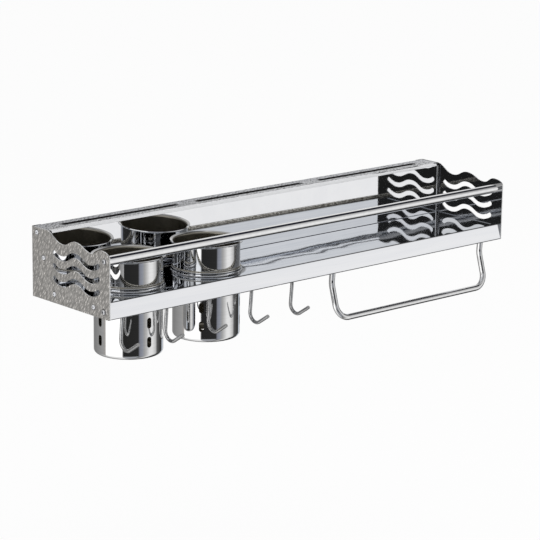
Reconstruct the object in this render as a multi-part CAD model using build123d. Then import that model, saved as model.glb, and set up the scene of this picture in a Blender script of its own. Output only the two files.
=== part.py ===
from build123d import *
import math
import os

# A wall rack folded from stainless sheet: knife ledge, back panel, shelf, two cups, hooks and towel bar.
# X runs along the rack, the wall is the plane y = 0, the front is towards -Y and Z is up.
# The origin is on the wall, midway along, at the height of the hanging screws.

# Overall sizes
LENGTH = 600.0
DEPTH = 137.5
HEIGHT = 78.0
LEDGE_TOP = 14.0

# Sheet thicknesses and bends
PLATE_SHEET = 1.2
LEDGE_SHEET = 1.0
PANEL_SHEET = 0.8
SHELF_SHEET = 0.8
BEND = 1.2

# End plates
PLATE_FLANGE = 12.0
WAVE_START = 28.0
WAVE_FIRST_DROP = 10.9
WAVE_CREST_DROP = 4.1
WAVE_SECOND_DROP = 11.4
WAVE_NOSE_DROP = 4.8
NOSE_DROP = 11.9
SLOT_WIDTH = 5.6
SLOT_FIRST_DROP = 21.6
SLOT_LAST_ABOVE_SHELF = 11.95
SLOT_COUNT = 3
SLOT_STEPS = 18
WAVE_PARTS = (0.0, 0.255, 0.457, 0.717, 0.868)
NOSE_REACH_SHARE = 0.6
NOSE_FALL_SHARE = 0.55
PLATE_CORNER = 2.0
NOTCH = 0.5
FOLD_OVERLAP = 1.0

# Knife ledge
LEDGE_DEPTH = 30.8
LEDGE_REAR_FLANGE = 30.0
LEDGE_TAB = 13.0
KNIFE_SLOT_COUNT = 3
KNIFE_SLOT_END_INSET = 30.0
KNIFE_SLOT_GAP = 28.5
KNIFE_SLOT_WIDTH = 6.0
KNIFE_SLOT_FROM_WALL = 15.5
KEYHOLE_COUNT = 4
KEYHOLE_END_INSET = 30.0
KEYHOLE_SEAT = 2.9
KEYHOLE_NECK = 3.6
KEYHOLE_ENTRY = 4.75
KEYHOLE_DROP = 8.0

# Back panel
PANEL_ROLL = 2.6
PANEL_TOP_FLANGE = 8.5
PANEL_END_FLANGE = 14.0
PANEL_END_ROLL = 4.0
PANEL_BOTTOM_GAP = 2.0

# Shelf with its lip and leaning fascia
SHELF_ABOVE_BOTTOM = 16.25
FASCIA_HEIGHT = 19.1
FASCIA_LEAN = 3.2
FASCIA_RETURN = 5.0
HEM_PITCH = 1.6
HEM_ROUND_SHARE = 0.49
LIP_BEND = 1.0
SHELF_REAR_FLANGE = 11.0
SHELF_END_FLANGE = 13.0
SHELF_FLANGE_SETBACK = 4.5

# Cups
CUP_COUNT = 2
CUP_FIRST_INSET = 72.8
CUP_PITCH = 110.3
CUP_REAR_GAP = 8.1
CUP_HOOK_GAP = 2.7
CUP_SHEET = 0.8
CUP_HEIGHT = 109.25
CUP_ABOVE_SHELF = 33.9
CUP_BASE_FILLET = 4.0
CUP_FLARE = 3.4
CUP_FLARE_HEIGHT = 1.2
CUP_BEAD = 1.5
CUP_BEAD_HALF = 1.9
CUP_BEAD_BEND = 1.0
CUP_FLARE_BEND = 1.6
CUP_SEAT_GAP = 0.05
CUP_CLEARANCE = 0.6
COLLAR_RISE = 2.6
COLLAR_BEND = 1.8
DRAIN_WIDTH = 5.6
DRAIN_LENGTH = 12.0
DRAIN_COLUMNS = 4
DRAIN_ROWS = 2
DRAIN_ROW_PITCH = 21.3
DRAIN_FROM_BASE = 18.6
DRAIN_TURN = (-2.0, 42.0)
BASE_HOLE = 5.0
BASE_HOLE_CIRCLE = 18.0
BASE_HOLE_COUNT = 6

# Guard rod
ROD_DIAMETER = 10.5
ROD_WALL = 0.9
ROD_FROM_FRONT = 8.8
ROD_ABOVE_BOTTOM = 62.4
PLUG_LENGTH = 16.0
PRESS_GAP = 0.03
ROD_SCREW = 4.0

# Hook rail
RAIL_DIAMETER = 5.0
RAIL_FROM_FRONT = 10.0
RAIL_ABOVE_BOTTOM = 7.6
RAIL_SCREW = 3.0
TAP_DEPTH = 11.0

# Screws
SCREW_LENGTH = 10.0
SCREW_HEAD = 5.6
SCREW_HEAD_HEIGHT = 1.7
SCREW_SOCKET = 2.0
SCREW_SOCKET_DEPTH = 0.9
SCREW_CLEARANCE = 0.1
SCREW_DOME_SHARE = 0.6

# Hooks
HOOK_COUNT = 5
HOOK_FIRST_INSET = 27.8
HOOK_PITCH = 60.7
HOOK_WIRE = 4.0
HOOK_CLEARANCE = 0.1
HOOK_EYE_END = 272.0
HOOK_KNEE = 14.0
HOOK_KNEE_BEND = 40.0
HOOK_LEAN = 3.7
HOOK_CORNER = 56.0
HOOK_BEND = 10.0
HOOK_TIP_REACH = 31.8
HOOK_TIP_RISE = 21.0

# Towel bar
BAR_WIRE = 7.0
BAR_RIGHT_INSET = 18.7
BAR_SPAN = 245.6
BAR_EAR = 3.2
BAR_EAR_RADIUS = 5.8
BAR_EAR_CLEARANCE = 0.1
BAR_SET_BACK = 6.9
BAR_EAR_ROOT = 4.0
BAR_KNEE = 24.5
BAR_KNEE_BACK = 1.5
BAR_DROP = 64.3
BAR_REACH = 10.3
BAR_CORNER = 17.0
BAR_KNEE_BEND = 26.0

# Blind rivets
RIVET_SHANK = 3.0
RIVET_HEAD = 5.0
RIVET_HEAD_HEIGHT = 1.0
RIVET_BULB = 4.4
RIVET_BULB_LENGTH = 2.4
RIVET_BORE = 1.2
RIVET_CLEARANCE = 0.05
RIVET_DOME_SHARE = 0.8
BULB_BEVEL_SHARE = 0.2
LEDGE_RIVET_FROM_WALL = 10.4
LEDGE_RIVET_DROP = 5.5
PANEL_RIVET_FROM_WALL = 22.2
PANEL_RIVET_DROP = 31.7
SHELF_RIVET_ABOVE_BOTTOM = 9.7
SHELF_REAR_RIVET_FROM_WALL = 41.0
SHELF_FRONT_RIVET_FROM_FRONT = 27.4
SEAM_RIVET_COUNT = 5
SEAM_RIVET_END_INSET = 40.0

# Levels and planes that follow from the sizes above
BOTTOM = LEDGE_TOP - HEIGHT
INSIDE = LENGTH / 2 - PLATE_SHEET
FRONT = -DEPTH
SHELF_TOP = BOTTOM + SHELF_ABOVE_BOTTOM
SHELF_MIDDLE = SHELF_TOP - SHELF_SHEET / 2
PANEL_FRONT = -LEDGE_DEPTH
PANEL_REAR = PANEL_FRONT + PANEL_SHEET
RAIL_Y = FRONT + RAIL_FROM_FRONT
RAIL_Z = BOTTOM + RAIL_ABOVE_BOTTOM
ROD_Y = FRONT + ROD_FROM_FRONT
ROD_Z = BOTTOM + ROD_ABOVE_BOTTOM
SLOT_PITCH = (LEDGE_TOP - SLOT_FIRST_DROP - SLOT_LAST_ABOVE_SHELF - SHELF_TOP) / (SLOT_COUNT - 1)
KNIFE_SLOT_ROOM = LENGTH - 2 * KNIFE_SLOT_END_INSET + KNIFE_SLOT_GAP
KNIFE_SLOT_PITCH = KNIFE_SLOT_ROOM / KNIFE_SLOT_COUNT
KNIFE_SLOT_LENGTH = KNIFE_SLOT_PITCH - KNIFE_SLOT_GAP
KEYHOLE_PITCH = (LENGTH - 2 * KEYHOLE_END_INSET) / (KEYHOLE_COUNT - 1)
SEAM_RIVET_PITCH = (LENGTH - 2 * SEAM_RIVET_END_INSET) / (SEAM_RIVET_COUNT - 1)
HOOK_EYE = RAIL_DIAMETER / 2 + HOOK_CLEARANCE + HOOK_WIRE / 2
HOOK_REAR = RAIL_Y + HOOK_EYE + HOOK_LEAN + HOOK_WIRE / 2
CUP_RADIUS = (PANEL_FRONT - CUP_REAR_GAP - HOOK_REAR - CUP_HOOK_GAP) / 2
CUP_FROM_WALL = CUP_RADIUS + CUP_REAR_GAP - PANEL_FRONT
COLLAR_TOP = SHELF_TOP + COLLAR_RISE
CUP_TOP = SHELF_TOP + CUP_ABOVE_SHELF
CUP_BOTTOM = CUP_TOP - CUP_HEIGHT
COLLAR_RADIUS = CUP_RADIUS + CUP_CLEARANCE


# A box given by its lowest and highest corners
def block(low, high):
    size = [b - a for a, b in zip(low, high)]
    return Pos(*low) * Box(*size, align=(Align.MIN, Align.MIN, Align.MIN))


# A folded sheet whose section lies across the rack, drawn as (y, z) along the middle of the sheet
def fold_along_x(points, radii, sheet, x_from, x_to):
    section = trace(FilletPolyline(*points, radius=radii), sheet)
    return extrude(Plane.YZ.offset(x_from) * section, x_to - x_from)


# A folded sheet whose section is the plan view, drawn as (x, y)
def fold_along_z(points, radii, sheet, z_from, z_to):
    section = trace(FilletPolyline(*points, radius=radii), sheet)
    return extrude(Plane.XY.offset(z_from) * section, z_to - z_from)


# A folded sheet whose section is the front view, drawn as (x, z)
def fold_along_y(points, radii, sheet, y_from, y_to):
    front_view = Plane(origin=(0, y_from, 0), x_dir=(-1, 0, 0), z_dir=(0, 1, 0))
    section = trace(FilletPolyline(*[(-x, z) for x, z in points], radius=radii), sheet)
    return extrude(front_view * section, y_to - y_from)


# A cylinder along X from one x to another
def bar_along_x(x_from, x_to, y, z, radius):
    return extrude(Plane.YZ.offset(x_from) * Pos(y, z) * Circle(radius), x_to - x_from)


# A piece and its twin at the other end of the rack
def both_ends(piece):
    return [piece, mirror(piece, Plane.YZ)]


# One smooth stretch of a wave between two of its turning points, level at both
def swell(start, end, start_pull=0.45, end_pull=0.45):
    run = end[0] - start[0]
    return Bezier(start, (start[0] + run * start_pull, start[1]), (end[0] - run * end_pull, end[1]), end)


# The end plate's turning points along its depth, from the ledge to the front
def wave_depths():
    return [-WAVE_START - (DEPTH - WAVE_START) * part for part in WAVE_PARTS]


# The wave-cut outline of an end plate in (y, z)
def plate_outline():
    start, first, crest, second, nose = wave_depths()
    wave = [
        swell((start, LEDGE_TOP), (first, LEDGE_TOP - WAVE_FIRST_DROP), 0.3, 0.5),
        swell((first, LEDGE_TOP - WAVE_FIRST_DROP), (crest, LEDGE_TOP - WAVE_CREST_DROP)),
        swell((crest, LEDGE_TOP - WAVE_CREST_DROP), (second, LEDGE_TOP - WAVE_SECOND_DROP)),
        swell((second, LEDGE_TOP - WAVE_SECOND_DROP), (nose, LEDGE_TOP - WAVE_NOSE_DROP)),
    ]
    nose_end = (FRONT, LEDGE_TOP - NOSE_DROP)
    reach = (nose - FRONT) * NOSE_REACH_SHARE
    fall = (NOSE_DROP - WAVE_NOSE_DROP) * NOSE_FALL_SHARE
    round_over = Bezier(
        (nose, LEDGE_TOP - WAVE_NOSE_DROP),
        (nose - reach, LEDGE_TOP - WAVE_NOSE_DROP),
        (FRONT, nose_end[1] + fall),
        nose_end,
    )
    corners = [nose_end, (FRONT, BOTTOM), (0, BOTTOM), (0, LEDGE_TOP)]
    rest = FilletPolyline(*corners, radius=[PLATE_CORNER, PLATE_CORNER])
    closing = Line((0, LEDGE_TOP), (start, LEDGE_TOP))
    return make_face(Wire(wave + [round_over] + rest.edges() + [closing]))


# The middle line of the highest wave slot in (y, z), from the wall side to the front
def slot_middle():
    start, first, crest, second, nose = wave_depths()
    level = LEDGE_TOP - SLOT_FIRST_DROP
    slot_start = (start - 13.4, level - 0.9)
    low = (first + 0.9, level - 4.9)
    high = (crest, level + 2.5)
    dip = (second + 2.5, level - 5.3)
    slot_end = (nose + 5.0, level - 1.0)
    return Wire([
        Bezier(slot_start, (slot_start[0] - 3.2, level - 3.6), (low[0] + 6.0, low[1]), low),
        swell(low, high),
        swell(high, dip),
        Bezier(dip, (dip[0] - 6.0, dip[1]), (slot_end[0] + 3.6, slot_end[1] - 2.2), slot_end),
    ])


# The wave slot's outline: two even edges beside the middle line, with round ends
def wave_slot():
    middle = slot_middle()
    half = SLOT_WIDTH / 2
    places = [step / SLOT_STEPS for step in range(SLOT_STEPS + 1)]
    points = [middle @ place for place in places]
    along = [(middle % place).normalized() for place in places]
    across = [Vector(-way.Y, way.X) * half for way in along]
    left = [point + side for point, side in zip(points, across)]
    right = [point - side for point, side in zip(points, across)]
    edges = [
        Spline(*left, tangents=[along[0], along[-1]]),
        ThreePointArc(left[-1], points[-1] + along[-1] * half, right[-1]),
        Spline(*right, tangents=[along[0], along[-1]]),
        ThreePointArc(left[0], points[0] - along[0] * half, right[0]),
    ]
    return make_face(Wire(edges))


# The rivets of an end plate as (y, z, thickness held): ledge tab, panel flange, two in the shelf flange
def end_rivets():
    shelf_level = BOTTOM + SHELF_RIVET_ABOVE_BOTTOM
    return [
        (-LEDGE_RIVET_FROM_WALL, LEDGE_TOP - LEDGE_RIVET_DROP, PLATE_SHEET + LEDGE_SHEET),
        (-PANEL_RIVET_FROM_WALL, LEDGE_TOP - PANEL_RIVET_DROP, PLATE_SHEET + PANEL_SHEET),
        (-SHELF_REAR_RIVET_FROM_WALL, shelf_level, PLATE_SHEET + SHELF_SHEET),
        (FRONT + SHELF_FRONT_RIVET_FROM_FRONT, shelf_level, PLATE_SHEET + SHELF_SHEET),
    ]


# The holes for those rivets, right through the rack's length
def end_rivet_holes():
    radius = RIVET_SHANK / 2 + RIVET_CLEARANCE
    return [bar_along_x(-LENGTH, LENGTH, y, z, radius) for y, z, grip in end_rivets()]


# The left end plate: a wave-cut cheek with three wave slots and a flange turned in along the wall
def end_plate():
    outside = -LENGTH / 2
    middle = outside + PLATE_SHEET / 2
    corners = [(middle, FRONT), (middle, -PLATE_SHEET / 2), (outside + PLATE_FLANGE, -PLATE_SHEET / 2)]
    plate = fold_along_z(corners, [BEND + PLATE_SHEET / 2], PLATE_SHEET, BOTTOM, LEDGE_TOP)
    plate = plate & extrude(Plane.YZ.offset(outside) * plate_outline(), PLATE_FLANGE, dir=(1, 0, 0))
    slot = extrude(Plane.YZ.offset(outside) * wave_slot(), PLATE_SHEET, dir=(1, 0, 0))
    for index in range(SLOT_COUNT):
        plate -= Pos(0, 0, -index * SLOT_PITCH) * slot
    plate -= end_rivet_holes()
    plate -= bar_along_x(outside, outside + PLATE_SHEET, ROD_Y, ROD_Z, ROD_SCREW / 2 + SCREW_CLEARANCE)
    plate -= bar_along_x(outside, outside + PLATE_SHEET, RAIL_Y, RAIL_Z, RAIL_SCREW / 2 + SCREW_CLEARANCE)
    return plate


# One hanging keyhole through the ledge's rear flange, with its seat at the origin's height
def keyhole(x):
    entry = Pos(-x, -KEYHOLE_DROP) * Circle(KEYHOLE_ENTRY)
    seat = Pos(-x, 0) * Circle(KEYHOLE_SEAT)
    neck = Pos(-x, -KEYHOLE_DROP / 2) * Rectangle(KEYHOLE_NECK, KEYHOLE_DROP)
    view_from_front = Plane(origin=(0, -LEDGE_SHEET, 0), x_dir=(-1, 0, 0), z_dir=(0, 1, 0))
    return extrude(view_from_front * (entry + seat + neck), LEDGE_SHEET)


# The knife ledge: hammered top with long knife slots, rear flange on the wall, and a tab down each end plate
def knife_ledge():
    middle = LEDGE_TOP - LEDGE_SHEET / 2
    front_edge = PANEL_FRONT + PANEL_ROLL
    rear = -LEDGE_SHEET / 2
    corners = [(front_edge, middle), (rear, middle), (rear, LEDGE_TOP - LEDGE_REAR_FLANGE)]
    ledge = fold_along_x(corners, [BEND + LEDGE_SHEET / 2], LEDGE_SHEET, -INSIDE, INSIDE)
    flange_end = LENGTH / 2 - PLATE_FLANGE - NOTCH
    behind = -PLATE_SHEET - NOTCH
    tab_front = PANEL_FRONT + PANEL_END_ROLL + NOTCH
    tab_rear = behind - BEND - NOTCH
    bend_start = INSIDE - BEND - LEDGE_SHEET
    ledge -= both_ends(block((flange_end, behind, BOTTOM), (INSIDE, 0, LEDGE_TOP)))
    ledge -= both_ends(block((bend_start, front_edge, BOTTOM), (INSIDE, 0, LEDGE_TOP)))
    tab_corners = [(bend_start - FOLD_OVERLAP, middle), (INSIDE - LEDGE_SHEET / 2, middle),
                   (INSIDE - LEDGE_SHEET / 2, LEDGE_TOP - LEDGE_TAB)]
    ledge += both_ends(fold_along_y(tab_corners, [BEND + LEDGE_SHEET / 2], LEDGE_SHEET, tab_front, tab_rear))
    slot = SlotOverall(KNIFE_SLOT_LENGTH, KNIFE_SLOT_WIDTH)
    for x in spread(KNIFE_SLOT_COUNT, KNIFE_SLOT_PITCH):
        ledge -= extrude(Pos(x, -KNIFE_SLOT_FROM_WALL, LEDGE_TOP - LEDGE_SHEET) * slot, LEDGE_SHEET)
    for x in spread(KEYHOLE_COUNT, KEYHOLE_PITCH):
        ledge -= keyhole(x)
    return ledge - end_rivet_holes()


# The back panel: its top rolls back under the ledge and its ends roll back along the end plates
def back_panel():
    middle = PANEL_FRONT + PANEL_SHEET / 2
    top = LEDGE_TOP - LEDGE_SHEET - PANEL_SHEET / 2
    foot = BOTTOM + PANEL_BOTTOM_GAP
    roll_start = INSIDE - PANEL_END_ROLL
    corners = [(PANEL_REAR + PANEL_TOP_FLANGE, top), (middle, top), (middle, foot)]
    panel = fold_along_x(corners, [PANEL_ROLL - PANEL_SHEET / 2], PANEL_SHEET, -roll_start, roll_start)
    flange_top = LEDGE_TOP - LEDGE_TAB - NOTCH
    roll_top = LEDGE_TOP - LEDGE_SHEET - PANEL_ROLL
    for reach, z_from, z_to in ((PANEL_END_FLANGE, foot, flange_top), (PANEL_END_ROLL, flange_top, roll_top)):
        end = [(roll_start - FOLD_OVERLAP, middle), (INSIDE - PANEL_SHEET / 2, middle),
               (INSIDE - PANEL_SHEET / 2, PANEL_FRONT + reach)]
        panel += both_ends(fold_along_z(end, [PANEL_END_ROLL - PANEL_SHEET / 2], PANEL_SHEET, z_from, z_to))
    return panel - end_rivet_holes() - seam_rivet_holes()


# The shelf's section: rear flange, floor, folded lip, leaning fascia and its return
def shelf_section():
    half = SHELF_SHEET / 2
    lean = FASCIA_LEAN / FASCIA_HEIGHT
    slant = math.hypot(FASCIA_LEAN, FASCIA_HEIGHT)
    rear = PANEL_FRONT - half
    foot = (FRONT + half, BOTTOM + half)
    outer = (foot[0] + lean * (FASCIA_HEIGHT - SHELF_SHEET), BOTTOM + FASCIA_HEIGHT - half)
    inner = (outer[0] + HEM_PITCH * FASCIA_HEIGHT / slant, outer[1] - HEM_PITCH * FASCIA_LEAN / slant)
    lip = (inner[0] - lean * (inner[1] - SHELF_MIDDLE), SHELF_MIDDLE)
    corners = [
        (rear, SHELF_TOP - SHELF_REAR_FLANGE),
        (rear, SHELF_MIDDLE),
        lip,
        inner,
        outer,
        foot,
        (foot[0] + FASCIA_RETURN, foot[1]),
    ]
    hem = HEM_PITCH * HEM_ROUND_SHARE
    return corners, [BEND + half, LIP_BEND, hem, hem, BEND + half]


# A collar drawn up round a cup's hole, centred on the hole
def collar():
    wall = COLLAR_RADIUS + SHELF_SHEET / 2
    bend = COLLAR_BEND + SHELF_SHEET / 2
    corners = [(wall + bend + FOLD_OVERLAP, SHELF_MIDDLE), (wall, SHELF_MIDDLE), (wall, COLLAR_TOP)]
    path = FilletPolyline(*corners, radius=[bend])
    return revolve(Plane.XZ * trace(path, SHELF_SHEET), Axis.Z)


# The shelf: floor with two collared holes, folded lip and fascia, and a flange down each end plate
def shelf():
    corners, radii = shelf_section()
    sheet = fold_along_x(corners, radii, SHELF_SHEET, -INSIDE, INSIDE)
    flange_front = RAIL_Y + RAIL_DIAMETER / 2 + SHELF_FLANGE_SETBACK
    flange_rear = PANEL_FRONT - SHELF_FLANGE_SETBACK
    bend_start = INSIDE - BEND - SHELF_SHEET
    sheet -= both_ends(block((bend_start, flange_front, BOTTOM), (INSIDE, flange_rear, SHELF_TOP)))
    flange = [(bend_start - FOLD_OVERLAP, SHELF_MIDDLE), (INSIDE - SHELF_SHEET / 2, SHELF_MIDDLE),
              (INSIDE - SHELF_SHEET / 2, SHELF_TOP - SHELF_END_FLANGE)]
    sheet += both_ends(fold_along_y(flange, [BEND + SHELF_SHEET / 2], SHELF_SHEET, flange_front, flange_rear))
    for x in cup_places():
        hole = Circle(COLLAR_RADIUS + SHELF_SHEET + COLLAR_BEND)
        sheet -= extrude(Pos(x, -CUP_FROM_WALL, SHELF_TOP - SHELF_SHEET) * hole, SHELF_SHEET)
        sheet += Pos(x, -CUP_FROM_WALL) * collar()
    return sheet - end_rivet_holes() - seam_rivet_holes()


# How far the cup's bead stands above the collar's edge when its lower slope rests on the edge
def bead_seat():
    slope = math.hypot(CUP_BEAD, CUP_BEAD_HALF)
    half = CUP_SHEET / 2
    along = (CUP_CLEARANCE + half - half * CUP_BEAD_HALF / slope) / CUP_BEAD
    return CUP_BEAD_HALF * (1 - along) + half * CUP_BEAD / slope + CUP_SEAT_GAP


# A drawn cup: rounded base, stop bead that rests on the collar, flared rim, drain slots and base holes
def cup(turn):
    wall = CUP_RADIUS - CUP_SHEET / 2
    base = CUP_BOTTOM + CUP_SHEET / 2
    bead = COLLAR_TOP + bead_seat()
    profile = FilletPolyline(
        (0, base),
        (wall, base),
        (wall, bead - CUP_BEAD_HALF),
        (wall + CUP_BEAD, bead),
        (wall, bead + CUP_BEAD_HALF),
        (wall, CUP_TOP - CUP_FLARE_HEIGHT),
        (wall + CUP_FLARE, CUP_TOP),
        radius=[CUP_BASE_FILLET, CUP_BEAD_BEND, CUP_BEAD_BEND, CUP_BEAD_BEND, CUP_FLARE_BEND],
    )
    body = revolve(Plane.XZ * trace(profile, CUP_SHEET), Axis.Z)
    for column in range(DRAIN_COLUMNS):
        angle = math.radians(turn + column * 360 / DRAIN_COLUMNS)
        outward = (math.cos(angle), math.sin(angle), 0)
        for row in range(DRAIN_ROWS):
            level = CUP_BOTTOM + DRAIN_FROM_BASE + row * DRAIN_ROW_PITCH
            view = Plane(origin=(0, 0, level), x_dir=(0, 0, 1), z_dir=outward)
            body -= extrude(view * SlotOverall(DRAIN_LENGTH, DRAIN_WIDTH), CUP_RADIUS + CUP_SHEET)
    holes = PolarLocations(BASE_HOLE_CIRCLE, BASE_HOLE_COUNT) * Circle(BASE_HOLE / 2)
    body -= [extrude(Pos(0, 0, CUP_BOTTOM) * hole, CUP_SHEET) for hole in holes]
    return body


# The axes of the cups along the shelf
def cup_places():
    return [-LENGTH / 2 + CUP_FIRST_INSET + CUP_PITCH * index for index in range(CUP_COUNT)]


# The guard rod: a tube between the end plates
def guard_rod():
    outer = bar_along_x(-INSIDE, INSIDE, ROD_Y, ROD_Z, ROD_DIAMETER / 2)
    return outer - bar_along_x(-INSIDE, INSIDE, ROD_Y, ROD_Z, ROD_DIAMETER / 2 - ROD_WALL)


# A tapped plug pressed into the left end of the guard rod
def rod_plug():
    radius = ROD_DIAMETER / 2 - ROD_WALL - PRESS_GAP
    plug = bar_along_x(-INSIDE, -INSIDE + PLUG_LENGTH, ROD_Y, ROD_Z, radius)
    bore = ROD_SCREW / 2 + PRESS_GAP
    return plug - bar_along_x(-INSIDE, -INSIDE + PLUG_LENGTH, ROD_Y, ROD_Z, bore)


# The hook rail: a round rod behind the fascia, tapped at both ends
def hook_rail():
    rail = bar_along_x(-INSIDE, INSIDE, RAIL_Y, RAIL_Z, RAIL_DIAMETER / 2)
    bore = RAIL_SCREW / 2 + PRESS_GAP
    return rail - both_ends(bar_along_x(INSIDE - TAP_DEPTH, INSIDE, RAIL_Y, RAIL_Z, bore))


# A button-head screw in the left end plate, with a hexagon socket
def end_screw(y, z, diameter):
    head = extrude(Circle(SCREW_HEAD / 2), SCREW_HEAD_HEIGHT)
    head = fillet(head.edges().group_by(Axis.Z)[-1], SCREW_HEAD_HEIGHT * SCREW_DOME_SHARE)
    head += extrude(Circle(diameter / 2), -SCREW_LENGTH)
    socket = RegularPolygon(SCREW_SOCKET / 2, 6, major_radius=False)
    head -= extrude(Pos(0, 0, SCREW_HEAD_HEIGHT - SCREW_SOCKET_DEPTH) * socket, SCREW_SOCKET_DEPTH)
    return Plane(origin=(-LENGTH / 2, y, z), x_dir=(0, 1, 0), z_dir=(-1, 0, 0)) * head


# A set blind rivet standing on the XY plane: domed head with its bore, shank, and the bulb behind the sheets
def blind_rivet(grip):
    head = extrude(Circle(RIVET_HEAD / 2), RIVET_HEAD_HEIGHT)
    head = fillet(head.edges().group_by(Axis.Z)[-1], RIVET_HEAD_HEIGHT * RIVET_DOME_SHARE)
    bulb = Pos(0, 0, -grip - RIVET_BULB_LENGTH) * extrude(Circle(RIVET_BULB / 2), RIVET_BULB_LENGTH)
    bulb = chamfer(bulb.edges(), RIVET_BULB_LENGTH * BULB_BEVEL_SHARE)
    rivet = head + extrude(Circle(RIVET_SHANK / 2), -grip) + bulb
    return rivet - extrude(Circle(RIVET_BORE / 2), 2 * RIVET_HEAD_HEIGHT, both=True)


# The rivets of the left end plate
def plate_rivets():
    outside = Plane(origin=(-LENGTH / 2, 0, 0), x_dir=(0, 1, 0), z_dir=(-1, 0, 0))
    return [outside * Pos(y, -z) * blind_rivet(grip) for y, z, grip in end_rivets()]


# The seam between the shelf's rear flange and the back panel, riveted from the front
def seam_frame(x):
    origin = (x, PANEL_FRONT - SHELF_SHEET, BOTTOM + SHELF_RIVET_ABOVE_BOTTOM)
    return Plane(origin=origin, x_dir=(1, 0, 0), z_dir=(0, -1, 0))


def seam_rivet_holes():
    hole = extrude(Circle(RIVET_SHANK / 2 + RIVET_CLEARANCE), -SHELF_SHEET - PANEL_SHEET)
    return [seam_frame(x) * hole for x in spread(SEAM_RIVET_COUNT, SEAM_RIVET_PITCH)]


def seam_rivets():
    rivet = blind_rivet(SHELF_SHEET + PANEL_SHEET)
    return [seam_frame(x) * rivet for x in spread(SEAM_RIVET_COUNT, SEAM_RIVET_PITCH)]


# A wire hook: closed eye round the rail, shank down its back, and a tip that rises forward
def hook(x):
    shank = RAIL_Y + HOOK_EYE
    corner = (shank + HOOK_LEAN, RAIL_Z - HOOK_CORNER)
    tip = (corner[0] - HOOK_TIP_REACH, corner[1] + HOOK_TIP_RISE)
    eye = CenterArc((RAIL_Y, RAIL_Z), HOOK_EYE, HOOK_EYE_END, -HOOK_EYE_END)
    knee = (shank, RAIL_Z - HOOK_KNEE)
    leg = FilletPolyline((shank, RAIL_Z), knee, corner, tip, radius=[HOOK_KNEE_BEND, HOOK_BEND])
    path = Plane.YZ.offset(x) * Wire(eye.edges() + leg.edges())
    return sweep(Plane(path @ 0, z_dir=path % 0) * Circle(HOOK_WIRE / 2), path=path)


# The places of the hooks along the rail
def hook_places():
    return [-LENGTH / 2 + HOOK_FIRST_INSET + HOOK_PITCH * index for index in range(HOOK_COUNT)]


# The flattened and punched end of the towel bar, on the rail, merging into its leg
def bar_ear(x):
    leg = RAIL_Y + BAR_SET_BACK
    flat = Pos(RAIL_Y, RAIL_Z) * Circle(BAR_EAR_RADIUS)
    root = Pos(leg, RAIL_Z - BAR_EAR_ROOT) * Circle(BAR_WIRE / 2)
    outline = make_hull(flat.edges() + root.edges())
    outline -= Pos(RAIL_Y, RAIL_Z) * Circle(RAIL_DIAMETER / 2 + BAR_EAR_CLEARANCE)
    return extrude(Plane.YZ.offset(x - BAR_EAR / 2) * outline, BAR_EAR)


# The towel bar: one bent wire whose two legs hang on the rail
def towel_bar():
    right = LENGTH / 2 - BAR_RIGHT_INSET
    left = right - BAR_SPAN
    top = (RAIL_Y + BAR_SET_BACK, RAIL_Z - BAR_EAR_ROOT)
    knee = (top[0] + BAR_KNEE_BACK, RAIL_Z - BAR_KNEE)
    corner = (top[0] - BAR_REACH, RAIL_Z - BAR_DROP)
    route = [(left, *top), (left, *knee), (left, *corner), (right, *corner), (right, *knee), (right, *top)]
    path = FilletPolyline(*route, radius=[BAR_KNEE_BEND, BAR_CORNER, BAR_CORNER, BAR_KNEE_BEND])
    bar = sweep(Plane(path @ 0, z_dir=path % 0) * Circle(BAR_WIRE / 2), path=path)
    return bar + bar_ear(left) + bar_ear(right)


# Evenly spaced places either side of the middle
def spread(count, pitch):
    return [pitch * (index - (count - 1) / 2) for index in range(count)]


# Every piece by name; fasteners of one kind share a node
def pieces():
    left_plate, right_plate = both_ends(end_plate())
    left_rivets = plate_rivets()
    nodes = {
        "end_plate_left": left_plate,
        "end_plate_right": right_plate,
        "knife_ledge": knife_ledge(),
        "back_panel": back_panel(),
        "shelf": shelf(),
        "guard_rod": guard_rod(),
        "guard_rod_plugs": Compound(both_ends(rod_plug())),
        "guard_rod_screws": Compound(both_ends(end_screw(ROD_Y, ROD_Z, ROD_SCREW))),
        "hook_rail": hook_rail(),
        "hook_rail_screws": Compound(both_ends(end_screw(RAIL_Y, RAIL_Z, RAIL_SCREW))),
        "towel_bar": towel_bar(),
        "plate_rivets_left": Compound(left_rivets),
        "plate_rivets_right": Compound([mirror(rivet, Plane.YZ) for rivet in left_rivets]),
        "panel_rivets": Compound(seam_rivets()),
    }
    for name, x, turn in zip(("cup_left", "cup_right"), cup_places(), DRAIN_TURN):
        nodes[name] = Pos(x, -CUP_FROM_WALL) * cup(turn)
    for number, x in enumerate(hook_places(), 1):
        nodes[f"hook_{number}"] = hook(x)
    return nodes


os.makedirs("parts", exist_ok=True)
for name, piece in pieces().items():
    export_step(piece, f"parts/{name}.step")
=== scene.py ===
import bpy, math
from mathutils import Matrix, Vector


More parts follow.
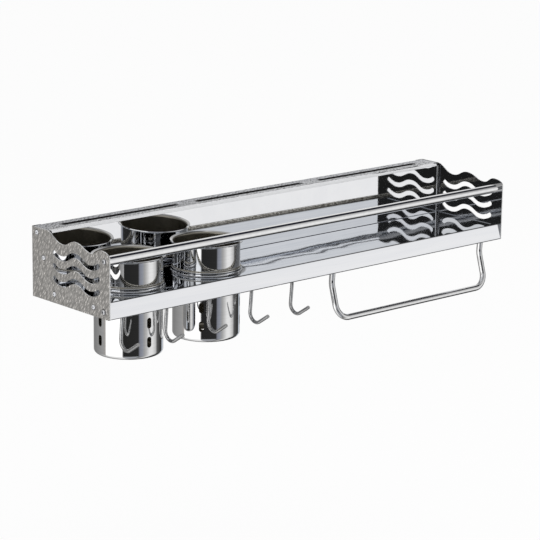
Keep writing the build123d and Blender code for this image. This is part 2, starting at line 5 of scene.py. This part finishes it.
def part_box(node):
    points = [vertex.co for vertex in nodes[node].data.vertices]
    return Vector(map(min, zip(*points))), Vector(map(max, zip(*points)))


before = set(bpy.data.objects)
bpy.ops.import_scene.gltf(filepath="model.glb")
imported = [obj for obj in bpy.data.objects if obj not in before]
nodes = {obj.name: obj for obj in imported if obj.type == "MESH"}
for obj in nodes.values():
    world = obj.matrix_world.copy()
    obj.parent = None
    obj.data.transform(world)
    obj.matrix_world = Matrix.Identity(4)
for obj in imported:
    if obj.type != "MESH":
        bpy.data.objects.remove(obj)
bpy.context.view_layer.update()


# End plates: 1.2 mm stainless sheet, cut in waves and folded in along the wall. The outer face is rolled with
# a hammered pattern, which is darker in the creases between the dimples as painted shade, and it has a painted
# shadow round the rivets and screws. The inner face is mirror polished, and the blanked edges are left bright.
class Tone:
    """One output of a finish's node tree, so that shader sums read as plain arithmetic."""

    def __init__(self, tree, socket=None):
        self.tree = tree
        self.socket = socket

    def node(self, kind, settings=(), out=0, **values):
        """Add a node and return one of its outputs.

        The inputs are given by name, with _ for a space, or by their place, as i0, i1 and so on.
        """
        made = self.tree.nodes.new("ShaderNode" + kind)
        for name, value in dict(settings).items():
            if name == "stops":
                ramp = made.color_ramp
                while len(ramp.elements) < len(value):
                    ramp.elements.new(0.5)
                for stop, (place, shade) in zip(ramp.elements, value):
                    stop.position = place
                    stop.color = (*shade, 1) if isinstance(shade, tuple) else (shade, shade, shade, 1)
            else:
                setattr(made, name, value)
        for name, value in values.items():
            by_place = name[0] == "i" and name[1:].isdigit()
            socket = made.inputs[int(name[1:]) if by_place else name.replace("_", " ")]
            if isinstance(value, Tone):
                self.tree.links.new(value.socket, socket)
            else:
                socket.default_value = value
        return Tone(self.tree, made.outputs[out] if made.outputs else None)

    def other(self, out):
        """Another output of the node that made this one."""
        return Tone(self.tree, self.socket.node.outputs[out])

    def parts(self):
        """The three parts of a place or a direction."""
        first = self.node("SeparateXYZ", Vector=self)
        return first, first.other(1), first.other(2)

    def maths(self, operation, *terms, kind="Math", out=0):
        values = {f"i{place}": term for place, term in enumerate(terms)}
        return self.node(kind, {"operation": operation}, out, **values)

    def vectors(self, operation, *terms, out=0):
        return self.maths(operation, *terms, kind="VectorMath", out=out)

    def __add__(self, other):
        return self.maths("ADD", self, other)

    def __sub__(self, other):
        return self.maths("SUBTRACT", self, other)

    def __mul__(self, other):
        return self.maths("MULTIPLY", self, other)

    def __truediv__(self, other):
        return self.maths("DIVIDE", self, other)

    def __rsub__(self, other):
        return self.maths("SUBTRACT", other, self)

    def __rtruediv__(self, other):
        return self.maths("DIVIDE", other, self)

    __radd__ = __add__
    __rmul__ = __mul__

    def rise(self, low, high):
        """0 below low and 1 above high, easing between them."""
        settings = {"interpolation_type": "SMOOTHSTEP"}
        return self.node("MapRange", settings, Value=self, From_Min=low, From_Max=high)

    def past(self, limit, soft):
        """0 before the limit and 1 past it, easing over soft on either side."""
        return self.rise(limit - soft, limit + soft)

    def blend(self, first, second):
        """The colour first where this is 0 and second where it is 1."""
        return self.node("Mix", {"data_type": "RGBA"}, out=2, i0=self, i6=first, i7=second)


def rgb(red, green, blue):
    return (red, green, blue, 1.0)


def metal(name, finish, shine=1.0):
    """A metal whose colour, roughness and normal come from finish(tone, place), place being a point on it."""
    material = bpy.data.materials.new(name)
    material.use_nodes = True
    tree = material.node_tree
    tree.nodes.clear()
    tone = Tone(tree)
    colour, roughness, normal = finish(tone, tone.node("TexCoord", out=3))
    skin = tone.node("BsdfPrincipled", Base_Color=colour, Metallic=shine, Roughness=roughness, Normal=normal)
    skin.node("OutputMaterial", Surface=skin)
    return material


def dress(material, *names):
    for name in names:
        mesh = nodes[name].data
        mesh.materials.clear()
        mesh.materials.append(material)


def direction(tone):
    """The way that the surface faces."""
    return tone.node("NewGeometry", out=1)


def hammered(tone, place, size, slant, stretch):
    """Closely set dimples of a hammer-rolled sheet, drawn out along one slanting direction."""
    drift = tone.node("TexNoise", out=1, Vector=place, Scale=0.3 / size, Detail=2.0)
    moved = tone.vectors("MULTIPLY_ADD", drift, (size, size, size), place)
    laid = tone.node("Mapping", {"vector_type": "TEXTURE"}, Vector=moved, Rotation=slant, Scale=stretch)
    dimples = tone.node("TexVoronoi", {"feature": "SMOOTH_F1"}, Vector=laid, Scale=1 / size, Smoothness=0.6)
    grain = tone.node("TexNoise", Vector=laid, Scale=2.4 / size, Detail=2.0)
    return dimples + grain * 0.18


def relief(tone, height):
    """The surface's normal with a relief whose height is in metres."""
    return tone.node("Bump", Height=height, Distance=1.0, Strength=1.0)


def swell(tone, place, span):
    """The faint, long waviness of a polished sheet."""
    return tone.node("TexNoise", Vector=place, Scale=1 / span, Detail=1.0, Roughness=0.4)


def axis(name, plane):
    """Where the axis of a round piece meets the plane that it stands square to."""
    low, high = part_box(name)
    return tuple(kept * (start + end) / 2 for kept, start, end in zip(plane, low, high))


def loose_axes(name, plane, apart):
    """The axes of a node's loose pieces, which lie further apart than the distance apart."""
    groups = []
    for vertex in nodes[name].data.vertices:
        spot = vertex.co * Vector(plane)
        near = [group for group in groups if (group[0] - spot).length < apart]
        if near:
            near[0].append(spot)
        else:
            groups.append([spot])
    return [tuple((min(part) + max(part)) / 2 for part in zip(*group)) for group in groups]


def reach(tone, place, axes, plane):
    """Distance in metres to the nearest of the axes, which stand square to the plane."""
    flat = tone.vectors("MULTIPLY", place, plane)
    nearest = 1.0
    for each in axes:
        nearest = tone.maths("MINIMUM", nearest, tone.vectors("DISTANCE", flat, each, out=1))
    return nearest


side_on = (0, 1, 1)
rivet_axes = loose_axes("plate_rivets_left", side_on, apart=0.006)
screw_axes = [axis("guard_rod", side_on), axis("hook_rail", side_on)]
rivet_shadow_ring = (0.0026, 0.0037)
screw_shadow_ring = (0.0029, 0.0041)


def plate_finish(tone, place):
    dimple = 0.0025
    slant = math.radians(36)
    across, away, _ = place.parts()
    facing, _, _ = direction(tone).parts()
    outer = (facing * across).rise(0.0, 0.06)
    cut = (1 - tone.maths("ABSOLUTE", facing).rise(0.35, 0.75)) * (0 - away).rise(0.004, 0.006)
    beaten = hammered(tone, place, dimple, (slant, 0, 0), stretch=(1, 1, 2.4))
    rolled = outer * (1 - cut)
    # Painted shade: the hammered pattern is darker in the creases between the dimples.
    outside = beaten.rise(0.40, 0.75).blend(rgb(0.95, 0.92, 0.88), rgb(0.70, 0.68, 0.65))
    # Painted shadow: a black ring round each rivet and screw head.
    clear = reach(tone, place, rivet_axes, side_on).rise(*rivet_shadow_ring)
    clear = clear * reach(tone, place, screw_axes, side_on).rise(*screw_shadow_ring)
    outside = (0.9 - clear * 0.9).blend(outside, rgb(0.05, 0.05, 0.06))
    sheet = outer.blend(rgb(0.52, 0.52, 0.52), outside)
    colour = cut.blend(sheet, rgb(0.95, 0.95, 0.95))
    height = rolled * beaten * -0.0006 + (1 - outer) * swell(tone, place, 0.05) * 0.00002
    return colour, 0.035 + rolled * 0.23 + cut * 0.40, relief(tone, height)


dress(metal("hammered plate", plate_finish), "end_plate_left", "end_plate_right")


# Knife ledge: 1 mm sheet of the same hammered stock, folded over the top, with black painted shade inside and
# round the rims of its long knife slots, and painted shade in its dimple hollows. Painted light makes it bluer
# and brighter than the plates, as it lies flat under the light. It is lighter towards the front, and its front
# edge is buffed.
def ledge_finish(tone, place):
    dimple = 0.0027
    slant = math.radians(46)
    slot_pitch = 0.1895
    slot_from_wall = 0.0160
    rim_half_length = 0.0820
    rim_half_width = 0.0041
    last_rim = 0.280
    soft = 0.0005
    along, away, _ = place.parts()
    _, back, up = direction(tone).parts()
    out = 0 - away
    beaten = hammered(tone, place, dimple, (0, 0, slant), stretch=(1.9, 1, 1))
    forward = (0 - back).rise(0.3, 0.7)
    past_slots = out.rise(0.019, 0.021)
    edge = forward * past_slots
    # Painted shade: black on the ledge's inside, behind the slots and round the slot rims.
    ledge_shade = (0 - up).rise(0.2, 0.6) + forward * (1 - past_slots)
    clear = tone.maths("PINGPONG", along, slot_pitch / 2).past(rim_half_length, soft)
    clear = clear + tone.maths("ABSOLUTE", along).past(last_rim, 0.002)
    clear = clear + tone.maths("ABSOLUTE", out - slot_from_wall).past(rim_half_width, soft)
    ledge_shade = ledge_shade + (1 - tone.maths("MINIMUM", clear, 1.0)) * up.rise(0.5, 0.8)
    # Painted light: a bluer ground than the plates, as the ledge lies flat under the light; it is also lighter
    # towards the front.
    bright = out.rise(0.002, 0.030).blend(rgb(0.64, 0.65, 0.69), rgb(0.74, 0.75, 0.77))
    # Painted shade: dark flecks in the dimple hollows, stronger on the top.
    hollow_shade = (1 - beaten.rise(0.30, 0.48)) * (0.35 + up.rise(0.5, 0.8) * 0.65)
    colour = hollow_shade.blend(bright, rgb(0.16, 0.16, 0.17))
    colour = tone.maths("MINIMUM", ledge_shade, 1.0).blend(colour, rgb(0.03, 0.03, 0.03))
    colour = edge.blend(colour, rgb(0.95, 0.95, 0.97))
    return colour, 0.22 + beaten * 0.06 - edge * 0.12, relief(tone, beaten * (1 - edge) * 0.0006)


dress(metal("hammered ledge", ledge_finish), "knife_ledge")


# Back panel: 0.8 mm mirror-polished sheet that closes the knife space. It leans by a degree or two, more at the
# left, as its rolled edge is sprung under the ledge. That edge is duller and evenly lit.
def panel_finish(tone, place):
    middle_lean = 0.0175
    twist = 0.042
    roll_way = (0, -0.98, 0.2)
    along, _, height = place.parts()
    _, back, _ = direction(tone).parts()
    roll = height.rise(0.0114, 0.0120) * (0 - back).rise(0.05, 0.15)
    smear = tone.node("TexNoise", Vector=place, Scale=35.0, Detail=4.0, Roughness=0.6)
    colour = smear.rise(0.3, 0.7).blend(rgb(0.91, 0.915, 0.935), rgb(0.94, 0.945, 0.96))
    lean = middle_lean - along * twist
    leaning = relief(tone, height * lean + swell(tone, place, 0.08) * 0.00002)
    rolled = tone.vectors("MULTIPLY", roll_way, roll)
    normal = tone.vectors("MULTIPLY_ADD", leaning, 1 - roll, rolled)
    return colour, 0.02 + smear * 0.02 + roll * 0.2, normal


dress(metal("mirror panel", panel_finish), "back_panel")


# Shelf: 0.8 mm mirror-polished sheet folded up to a lip and a leaning fascia, with two drawn collars for the
# cups. Wiping has left faint streaks along its length. Painted shade makes its floor a darker, bluer copy of
# the fascia, and black painted shade lies round the collars and in a strip along the front fold. The lip is
# yellowish.
from_above = (1, 1, 0)
collar_axes = [axis("cup_left", from_above), axis("cup_right", from_above)]
collar_shade_rim = (0.0425, 0.0455)


def shelf_finish(tone, place):
    _, away, _ = place.parts()
    _, back, up = direction(tone).parts()
    out = 0 - away
    floor_side = up.rise(0.4, 0.8)
    lip_side = back.rise(0.4, 0.8) * out.rise(0.12, 0.122)
    wiped = tone.node("Mapping", Vector=place, Scale=(1.5, 40.0, 40.0))
    streaks = tone.node("TexNoise", Vector=wiped, Scale=4.0, Detail=3.0, Roughness=0.6)
    front = streaks.rise(0.3, 0.7).blend(rgb(0.89, 0.90, 0.93), rgb(0.94, 0.945, 0.965))
    # Painted shade: the shelf's floor is a darker, bluer copy of the fascia's colour.
    level = streaks.rise(0.3, 0.7).blend(rgb(0.70, 0.74, 0.80), rgb(0.80, 0.83, 0.88))
    # Painted shade: black round the cups' collars and in a strip along the front fold.
    collar_shade = 1 - reach(tone, place, collar_axes, from_above).rise(*collar_shade_rim)
    fold_and_collar_shade = tone.maths("MAXIMUM", collar_shade * 0.85, out.rise(0.122, 0.127))
    level = fold_and_collar_shade.blend(level, rgb(0.06, 0.06, 0.06))
    grit = tone.node("TexNoise", Vector=place, Scale=400.0, Detail=2.0)
    lip = grit.rise(0.35, 0.6).blend(rgb(0.40, 0.37, 0.31), rgb(0.95, 0.92, 0.84))
    colour = lip_side.blend(floor_side.blend(front, level), lip)
    waviness = swell(tone, place, 0.06) * (0.00002 + floor_side * 0.00028)
    return colour, 0.02 + streaks * 0.03 + lip_side * 0.2, relief(tone, waviness)


dress(metal("mirror shelf", shelf_finish), "shelf")


# Guard rod, hook rail and their tapped plugs: polished tube and bar held between the plates by button-head
# screws, with black painted shade in their hexagon sockets.
def rod_finish(tone, place):
    lines = tone.node("TexNoise", Vector=place, Scale=180.0, Detail=3.0)
    colour = lines.rise(0.35, 0.65).blend(rgb(0.87, 0.87, 0.88), rgb(0.93, 0.93, 0.93))
    return colour, 0.03 + lines * 0.03, relief(tone, swell(tone, place, 0.05) * 0.00001)


dress(metal("polished rod", rod_finish), "guard_rod", "hook_rail")


def screw_finish(tone, place):
    scuff = tone.node("TexNoise", Vector=place, Scale=700.0, Detail=3.0)
    # Painted shade: the hexagon socket is black.
    socket = 1 - reach(tone, place, screw_axes, side_on).rise(0.0008, 0.0012)
    colour = scuff.rise(0.35, 0.65).blend(rgb(0.86, 0.87, 0.90), rgb(0.96, 0.96, 0.97))
    colour = socket.blend(colour, rgb(0.04, 0.04, 0.05))
    return colour, 0.22 + scuff * 0.06, relief(tone, scuff * 0.00001)


dress(metal("button-head screw", screw_finish), "guard_rod_screws", "hook_rail_screws")


def plug_finish(tone, place):
    turning = tone.node("TexWave", {"bands_direction": "X"}, Vector=place, Scale=900.0, Distortion=0.4)
    colour = turning.rise(0.2, 0.8).blend(rgb(0.62, 0.47, 0.22), rgb(0.72, 0.57, 0.30))
    return colour, 0.25 + turning * 0.1, relief(tone, turning * 0.00003)


dress(metal("turned brass", plug_finish), "guard_rod_plugs")


# Hooks and towel bar: drawn wire, bent cold, bright on the bar; the hooks get a darker copy of it as painted
# shade. The hooks end in a closed eye on the rail and a cropped tip, and the bar's two ends are flattened and
# punched.
def wire_finish(tone, place, low, high):
    die_lines = tone.node("TexNoise", Vector=place, Scale=400.0, Detail=2.0)
    colour = die_lines.rise(0.35, 0.65).blend(rgb(low, low, low), rgb(high, high, high))
    return colour, 0.04 + die_lines * 0.05, relief(tone, die_lines * 0.000005)


hooks = [f"hook_{number}" for number in range(1, 6)]
dress(metal("bright wire", lambda tone, place: wire_finish(tone, place, 0.80, 0.88)), "towel_bar")
# Painted shade: the hooks' wire is a darker copy of the bar's.
dress(metal("hook wire", lambda tone, place: wire_finish(tone, place, 0.49, 0.59)), *hooks)


# Cups: deep-drawn 0.8 mm sheet, polished outside in the lathe and left dull inside, where painted shade makes
# it dark brownish grey, with a stop bead that rests on the collar, a flat flared rim and punched drain slots.
def cup_finish(tone, place, middle, rim_height):
    _, _, height = place.parts()
    facing = direction(tone)
    _, _, up = facing.parts()
    spoke = tone.vectors("SUBTRACT", place, middle)
    spoke = tone.vectors("MULTIPLY", spoke, from_above)
    spoke = tone.vectors("NORMALIZE", spoke)
    outward = tone.vectors("DOT_PRODUCT", facing, spoke, out=1)
    well = up.rise(0.3, 0.6) * (1 - height.rise(rim_height - 0.02, rim_height - 0.01))
    inside = tone.maths("MAXIMUM", (0 - outward).rise(0.2, 0.6), well)
    lathe = tone.node("Mapping", Vector=place, Scale=(6.0, 6.0, 240.0))
    rings = tone.node("TexNoise", Vector=lathe, Scale=4.0, Detail=2.0)
    polish = rings.rise(0.3, 0.7).blend(rgb(0.84, 0.84, 0.84), rgb(0.90, 0.90, 0.90))
    # Painted shade: the inside is dark brownish grey.
    colour = inside.blend(polish, rgb(0.34, 0.32, 0.27))
    return colour, 0.03 + rings * 0.02 + inside * 0.28, relief(tone, rings * 0.000002)


for name, middle in zip(("cup_left", "cup_right"), collar_axes):
    low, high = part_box(name)
    polish = lambda tone, place: cup_finish(tone, place, middle, high[2])
    dress(metal(name.replace("_", " ") + " polish", polish), name)


# Blind rivets: aluminium heads about 5 mm wide, domed, with a dark dot of painted shade in the bore in the
# middle.
# They hold the ledge, panel and shelf to the plates and the shelf to the panel.
def rivet_finish(tone, place):
    dome_fall = 70
    scuff = tone.node("TexNoise", Vector=place, Scale=900.0, Detail=3.0)
    from_axis = reach(tone, place, rivet_axes, side_on)
    colour = scuff.rise(0.35, 0.65).blend(rgb(0.90, 0.92, 0.97), rgb(0.97, 0.98, 1.0))
    # Painted shade: a dark dot in the rivet's bore.
    colour = (1 - from_axis.rise(0.0006, 0.0010)).blend(colour, rgb(0.10, 0.10, 0.14))
    return colour, 0.30 + scuff * 0.08, relief(tone, scuff * 0.00001 - from_axis * from_axis * dome_fall)


rivet = metal("blind rivet", rivet_finish, shine=0.15)
dress(rivet, "plate_rivets_left", "plate_rivets_right", "panel_rivets")


# Studio: a pale floor well below the rack, and a surround of white screens with a dark gap on the camera's
# side, as polished steel is photographed. The screens and the grey ceiling over them show only in the metal.
half_width = 30.0
floor_height = -0.5
sides = [(-1, -1), (1, -1), (1, 1), (-1, 1)]
corners = [(x * half_width, y * half_width, floor_height) for x, y in sides]
floor_mesh = bpy.data.meshes.new("floor")
floor_mesh.from_pydata(corners, [], [(0, 1, 2, 3)])
floor = bpy.data.objects.new("floor", floor_mesh)
bpy.context.collection.objects.link(floor)
floor.visible_glossy = False
paper = bpy.data.materials.new("pale floor")
paper.use_nodes = True
paper.node_tree.nodes.clear()
tone = Tone(paper.node_tree)
seen = tone.node("LightPath", out=0)
from_below = tone.node("NewGeometry", out=6)
matt = tone.node("BsdfDiffuse", Color=rgb(0.9, 0.9, 0.9))
glow = tone.node("Emission", Color=rgb(1.0, 1.0, 1.0), Strength=1.0)
shaded = tone.node("MixShader", i0=seen * 0.9, i1=matt, i2=glow)
clear = tone.node("BsdfTransparent")
top_only = tone.node("MixShader", i0=from_below, i1=shaded, i2=clear)
top_only.node("OutputMaterial", Surface=top_only)
floor_mesh.materials.append(paper)

world = bpy.data.worlds.new("studio")
bpy.context.scene.world = world
world.use_nodes = True
world.node_tree.nodes.clear()
tone = Tone(world.node_tree)


def around(tone, turned, screens):
    """The brightness of the screens round the rack, from -180 to 180 degrees, with 0 straight in front."""
    stops = [(0.5 + angle / 360, level) for angle, level in screens]
    return tone.node("ValToRGB", {"stops": stops}, Fac=turned)


sideways, towards, upwards = tone.node("TexCoord", out=0).parts()
turned = tone.maths("ARCTAN2", sideways, 0 - towards) / math.tau + 0.5
elevation = tone.maths("ARCSINE", upwards) * (180 / math.pi)
level_screens = around(tone, turned, [
    (-180, 0.23), (-156, 0.28), (-143, 0.31), (-131, 0.34), (-122, (0.38, 0.36, 0.34)), (-117, 1.25),
    (-60, 1.25), (-56, 0.02), (-5, 0.025), (-1, (0.22, 0.23, 0.27)), (8, (0.28, 0.30, 0.35)), (17, 0.38),
    (26, 0.58), (36, 0.84), (47, 0.86), (58, 0.66), (66, 0.48), (70, 0.12), (84, 0.06), (98, 0.03),
    (105, 0.08), (108, (0.60, 0.66, 0.74)), (119, (0.68, 0.72, 0.78)), (124, 0.22), (138, 0.26),
    (150, 0.26), (161, 0.25), (180, 0.23)])
high_screens = around(tone, turned, [
    (-180, 0.34), (-140, 0.36), (-119, 0.40), (-116, 0.95), (-60, 0.95), (-56, 0.03), (-6, 0.04), (0, 0.3),
    (25, 0.60), (42, 0.68), (53, 0.50), (65, 0.20), (83, 0.15), (106, 0.22), (118, 0.90), (134, 0.90),
    (140, 0.60), (146, 0.46), (165, 0.42), (180, 0.34)])
low_screens = around(tone, turned, [
    (-180, 0.25), (-150, 0.50), (-124, 0.70), (-114, 0.85), (-60, 0.85), (-56, 0.03), (-4, 0.03), (20, 0.4),
    (42, 0.88), (50, 0.66), (57, 0.20), (66, 0.05), (91, 0.03), (126, 0.02), (140, 0.20), (155, 0.30),
    (180, 0.30)])
top_screens = around(tone, turned, [
    (-180, 0.45), (-60, 0.45), (0, 0.45), (20, 0.35), (38, 0.20), (48, 0.12), (56, (0.02, 0.02, 0.03)),
    (102, (0.01, 0.012, 0.02)), (110, 0.12), (116, 0.55), (122, 0.80), (134, 0.80), (145, 0.40), (165, 0.42),
    (180, 0.45)])
above = elevation.rise(2.0, 20.0).blend(level_screens, high_screens)
above = elevation.rise(30.0, 46.0).blend(above, top_screens)
above = elevation.rise(58.0, 72.0).blend(above, rgb(0.75, 0.76, 0.78))
surround = elevation.rise(-42.0, -22.0).blend(low_screens, above)

# The gap is black only in two bands, a little above and a little below the rack's level, and grey elsewhere.
black_level = 14
band_half = 5
degrees = (turned - 0.5) * 360
in_gap = degrees.past(-57, 3) * (1 - degrees.past(-3, 3))
off_level = tone.maths("ABSOLUTE", tone.maths("ABSOLUTE", elevation) - black_level).past(band_half, 1.5)
surround = (in_gap * off_level).blend(surround, rgb(0.34, 0.35, 0.37))
seen = tone.node("LightPath", out=0)
mirrored = tone.node("LightPath", out=3)
plain = seen.blend(rgb(0.8, 0.8, 0.8), rgb(0.985, 0.985, 0.985))
air = tone.node("Background", Color=mirrored.blend(plain, surround), Strength=1.0)
air.node("OutputWorld", Surface=air)

lamp_data = bpy.data.lights.new("soft box", "AREA")
lamp_data.energy = 12.0
lamp_data.size = 1.6
lamp = bpy.data.objects.new("soft box", lamp_data)
bpy.context.collection.objects.link(lamp)
lamp.location = (0.3, -0.8, 1.8)
lamp.rotation_euler = (math.radians(24), 0, 0)
lamp.visible_glossy = False


# Camera: a long lens from the front left, a little above the rack. Its focal length is given in pixels of the
# photograph.
photo_width = 540
focal_pixels = 2295.0
turn = math.radians(-41.85)
tilt = math.radians(14.01)
roll = math.radians(0.76)
distance = 2.6763
target = Vector((0.01319, -0.03789, -0.07705))
camera_data = bpy.data.cameras.new("camera")
camera_data.sensor_width = 36.0
camera_data.lens = focal_pixels / photo_width * camera_data.sensor_width
camera_data.clip_end = 100.0
camera = bpy.data.objects.new("camera", camera_data)
bpy.context.collection.objects.link(camera)
back = Vector((math.sin(turn) * math.cos(tilt), -math.cos(turn) * math.cos(tilt), math.sin(tilt)))
level = Vector((0, 0, 1)).cross(back).normalized()
rising = back.cross(level)
right = level * math.cos(roll) + rising * math.sin(roll)
top = rising * math.cos(roll) - level * math.sin(roll)
aim = Matrix((right, top, back)).transposed().to_4x4()
camera.matrix_world = Matrix.Translation(target + back * distance) @ aim
bpy.context.scene.camera = camera
bpy.context.scene.view_settings.view_transform = "Standard"
